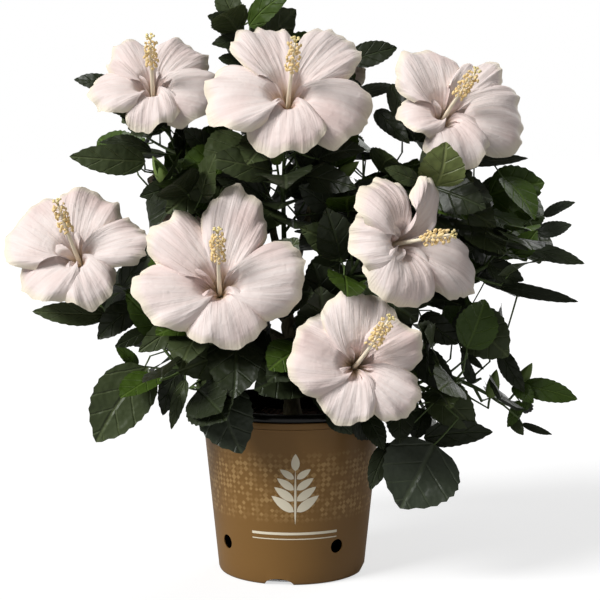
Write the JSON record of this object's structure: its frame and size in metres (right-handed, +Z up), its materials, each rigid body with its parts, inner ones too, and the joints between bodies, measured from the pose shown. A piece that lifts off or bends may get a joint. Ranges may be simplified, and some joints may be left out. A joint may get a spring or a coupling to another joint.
{
  "type": "potted hibiscus shrub",
  "caption": "Flowering shrub in a tapered nursery pot: short woody stem, fanned boughs, masses of toothed leaves and large ruffled pale flowers with long columns.",
  "frame": {"origin": "centre of the pot's flat underside, on the surface it stands on", "axes": "+Z up, -Y towards the front, +X to the right seen from the front"},
  "size_m": [0.5616, 0.3932, 0.596],
  "materials": {
    "pot_plastic": "thermoformed, satin",
    "potting_mix": "loose bark and peat, matt",
    "bark": "thin grey-brown bark, green on young shoots",
    "foliage": "glossy dark leaves, pale soft petals"
  },
  "bodies": {
    "root": {"pot": "pot_plastic", "soil": "potting_mix", "trunk": "bark", "bough_peak": "bark", "bough_back_top": "bark", "bough_upper_left": "bark", "bough_upper_right": "bark", "bough_heart_right": "bark", "bough_heart_left": "bark", "bough_back_left": "bark", "bough_back_right": "bark", "bough_mid_right": "bark", "bough_far_left": "bark", "bough_right": "bark", "bough_mid_left": "bark", "bough_back_low_left": "bark", "bough_low_front": "bark", "bough_back_low_right": "bark", "bough_low_right": "bark", "bough_skirt_left": "bark", "bough_skirt_right": "bark", "foliage_top": "foliage", "foliage_peak": "foliage", "foliage_back_top": "foliage", "foliage_upper_left": "foliage", "foliage_upper_right": "foliage", "foliage_heart_right": "foliage", "foliage_heart_left": "foliage", "foliage_back_left": "foliage", "foliage_back_right": "foliage", "foliage_mid_right": "foliage", "foliage_far_left": "foliage", "foliage_right": "foliage", "foliage_mid_left": "foliage", "foliage_back_low_left": "foliage", "foliage_low_front": "foliage", "foliage_back_low_right": "foliage", "foliage_low_right": "foliage", "foliage_skirt_left": "foliage", "foliage_skirt_right": "foliage"}
  },
  "joints": []
}
